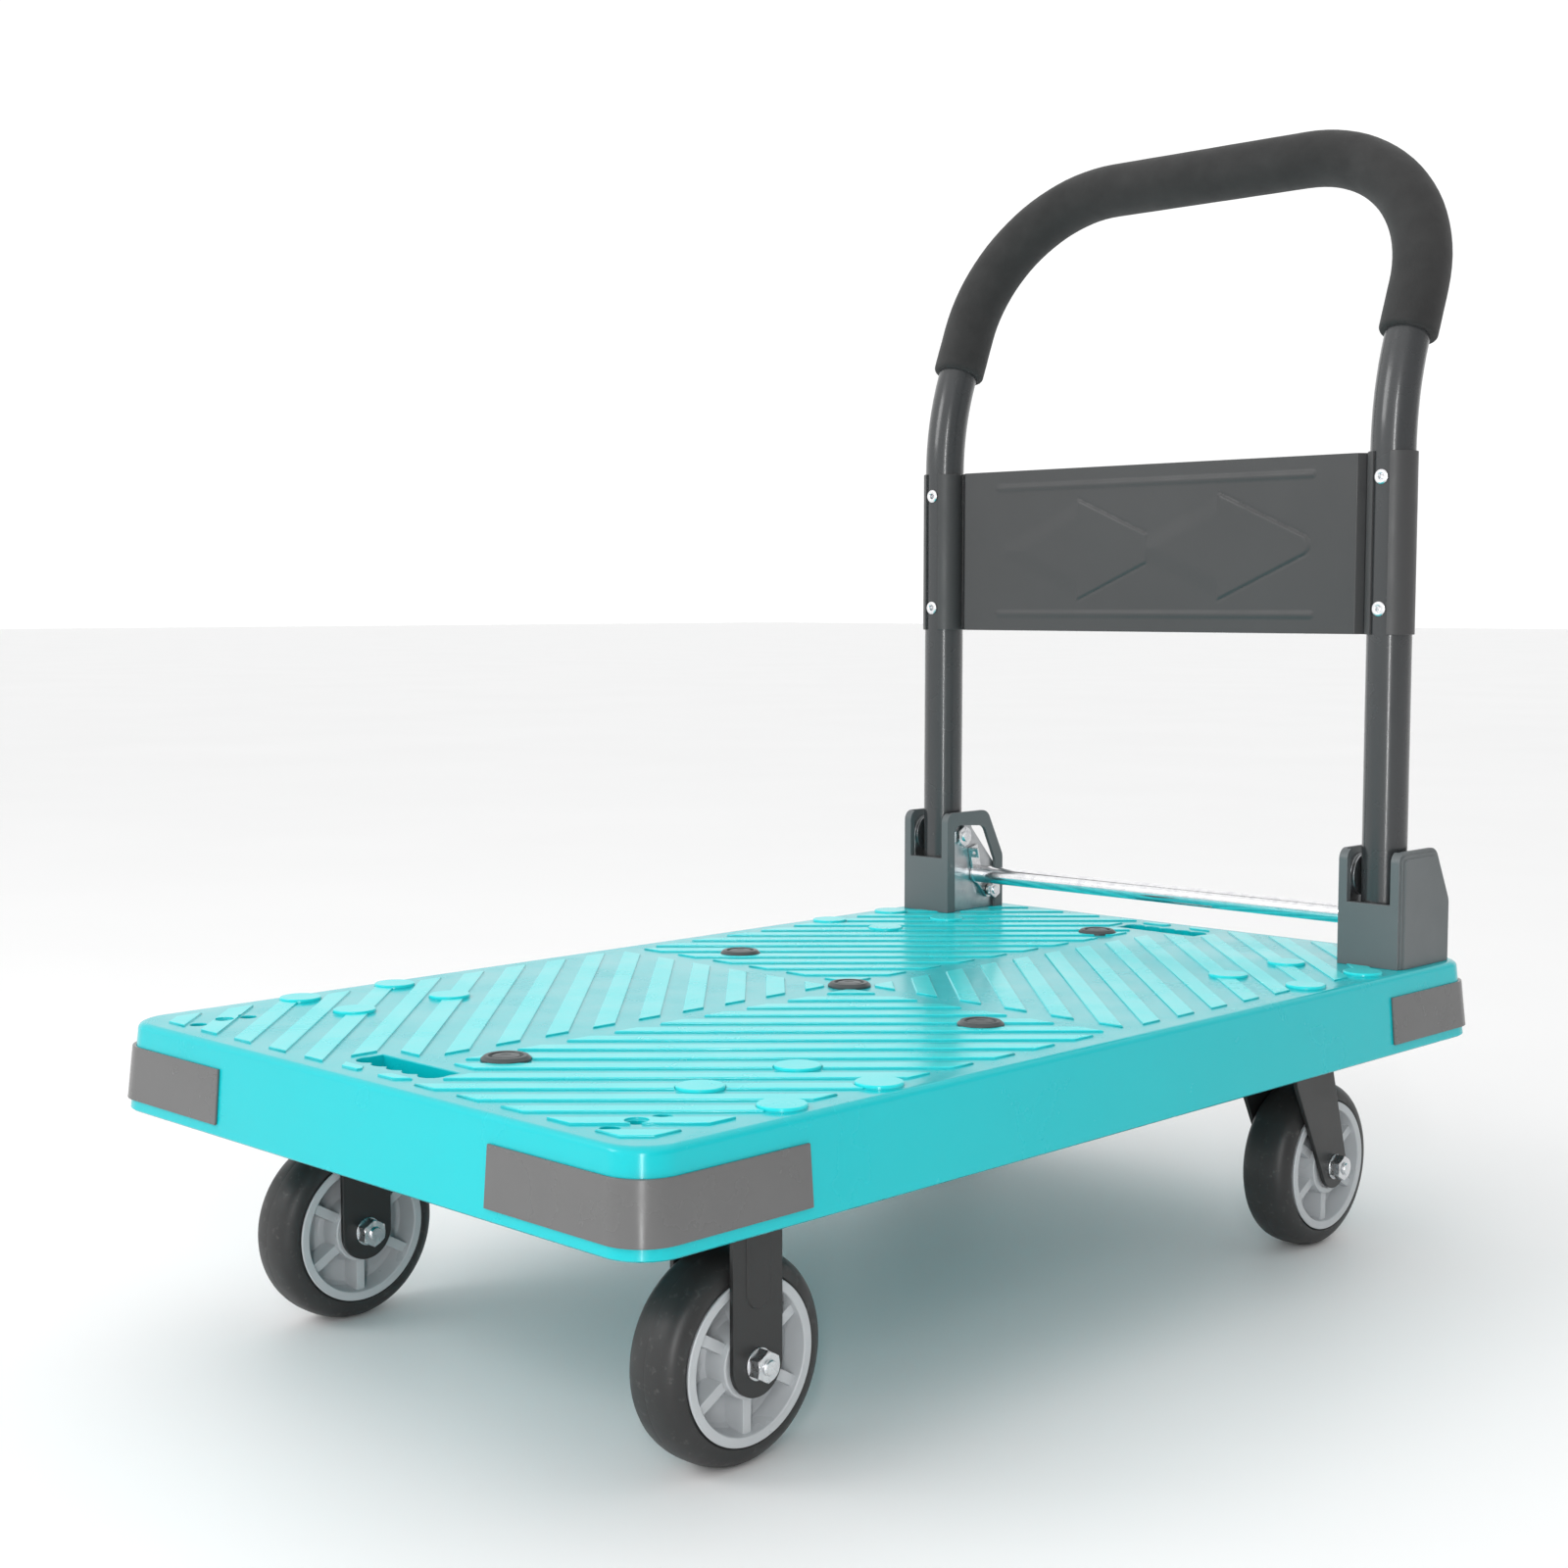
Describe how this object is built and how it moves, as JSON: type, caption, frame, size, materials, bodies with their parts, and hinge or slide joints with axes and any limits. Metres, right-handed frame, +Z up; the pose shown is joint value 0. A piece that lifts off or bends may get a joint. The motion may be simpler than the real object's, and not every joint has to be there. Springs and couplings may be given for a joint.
{
  "type": "flatbed platform truck",
  "caption": "Platform truck with a moulded flat deck, fold-down push handle with back panel, foot release bar, fixed front casters and swivel rear casters.",
  "frame": {"origin": "on the floor, at the middle of the truck's outer box", "axes": "+Z up, +Y along the deck towards the handle end, +X to the right when looking along +Y"},
  "size_m": [0.5428, 0.9292, 0.8962],
  "materials": {
    "deck_plastic": "glossy moulded polypropylene",
    "plug_plastic": "moulded, satin",
    "bumper_plastic": "satin grey strip",
    "cover_plastic": "fine grained, satin",
    "bracket_steel": "zinc plated sheet",
    "zinc_fastener": "bright zinc plated",
    "bar_chrome": "polished",
    "arm_steel": "zinc plated sheet",
    "spring_steel": "drawn wire",
    "sleeve_steel": "turned",
    "fork_paint": "black powder coat",
    "tube_paint": "dark grey gloss coat",
    "cap_plastic": "moulded, matte",
    "foam": "matte foam",
    "panel_paint": "dark grey satin coat",
    "rivet_aluminium": "bright",
    "tyre_rubber": "satin rubber",
    "rim_plastic": "moulded light grey"
  },
  "bodies": {
    "deck_frame": {"deck": "deck_plastic", "deck_plugs": "plug_plastic", "bumper_front_left": "bumper_plastic", "bumper_front_right": "bumper_plastic", "bumper_rear_left": "bumper_plastic", "bumper_rear_right": "bumper_plastic", "hinge_bracket_left": "bracket_steel", "hinge_bracket_right": "bracket_steel", "hinge_cover_left": "cover_plastic", "hinge_cover_right": "cover_plastic", "bracket_bolts": "zinc_fastener", "pivot_bolt_left": "zinc_fastener", "pivot_bolt_right": "zinc_fastener", "release_studs": "zinc_fastener", "release_springs": "spring_steel", "front_fork_left": "fork_paint", "front_fork_right": "fork_paint", "front_plate_bolts": "zinc_fastener", "swivel_plate_left": "fork_paint", "swivel_plate_right": "fork_paint", "king_pin_left": "zinc_fastener", "king_pin_right": "zinc_fastener", "rear_plate_bolts": "zinc_fastener", "sleeve_front_left": "sleeve_steel", "sleeve_front_right": "sleeve_steel", "axle_front_left": "zinc_fastener", "axle_front_right": "zinc_fastener"},
    "handle": {"handle_tube": "tube_paint", "tube_end_caps": "cap_plastic", "foam_grip": "foam", "back_panel": "panel_paint", "panel_rivets": "rivet_aluminium", "lock_plates_left": "bracket_steel", "lock_plates_right": "bracket_steel"},
    "release_bar": {"release_rod": "bar_chrome", "release_arm_left": "arm_steel", "release_arm_right": "arm_steel"},
    "swivel_left": {"swivel_fork_left": "fork_paint", "swivel_balls_left": "spring_steel", "sleeve_rear_left": "sleeve_steel", "axle_rear_left": "zinc_fastener"},
    "swivel_right": {"swivel_fork_right": "fork_paint", "swivel_balls_right": "spring_steel", "sleeve_rear_right": "sleeve_steel", "axle_rear_right": "zinc_fastener"},
    "front_left_wheel": {"tyre_front_left": "tyre_rubber", "wheel_front_left": "rim_plastic"},
    "front_right_wheel": {"tyre_front_right": "tyre_rubber", "wheel_front_right": "rim_plastic"},
    "rear_left_wheel": {"tyre_rear_left": "tyre_rubber", "wheel_rear_left": "rim_plastic"},
    "rear_right_wheel": {"tyre_rear_right": "tyre_rubber", "wheel_rear_right": "rim_plastic"}
  },
  "joints": [
    {"name": "handle_fold", "type": "hinge", "parent": "deck_frame", "child": "handle", "pos_m": [0, 0.36057, 0.2895], "axis": [1, 0, 0], "range_deg": [0, 90]},
    {"name": "release_press", "type": "hinge", "parent": "deck_frame", "child": "release_bar", "pos_m": [0, 0.39757, 0.237], "axis": [1, 0, 0], "range_deg": [0, 15], "stiffness_Nm_per_rad": 1.5, "springref_deg": -11.46},
    {"name": "swivel_left_turn", "type": "hinge", "parent": "deck_frame", "child": "swivel_left", "pos_m": [-0.1948, 0.27177, 0.152], "axis": [0, 0, 1], "continuous": true},
    {"name": "swivel_right_turn", "type": "hinge", "parent": "deck_frame", "child": "swivel_right", "pos_m": [0.1948, 0.27177, 0.152], "axis": [0, 0, 1], "continuous": true},
    {"name": "front_left_spin", "type": "hinge", "parent": "deck_frame", "child": "front_left_wheel", "pos_m": [-0.1948, -0.32883, 0.065], "axis": [1, 0, 0], "continuous": true},
    {"name": "front_right_spin", "type": "hinge", "parent": "deck_frame", "child": "front_right_wheel", "pos_m": [0.1948, -0.32883, 0.065], "axis": [1, 0, 0], "continuous": true},
    {"name": "rear_left_spin", "type": "hinge", "parent": "swivel_left", "child": "rear_left_wheel", "pos_m": [-0.1948, 0.30637, 0.065], "axis": [1, 0, 0], "continuous": true},
    {"name": "rear_right_spin", "type": "hinge", "parent": "swivel_right", "child": "rear_right_wheel", "pos_m": [0.1948, 0.30637, 0.065], "axis": [1, 0, 0], "continuous": true}
  ]
}
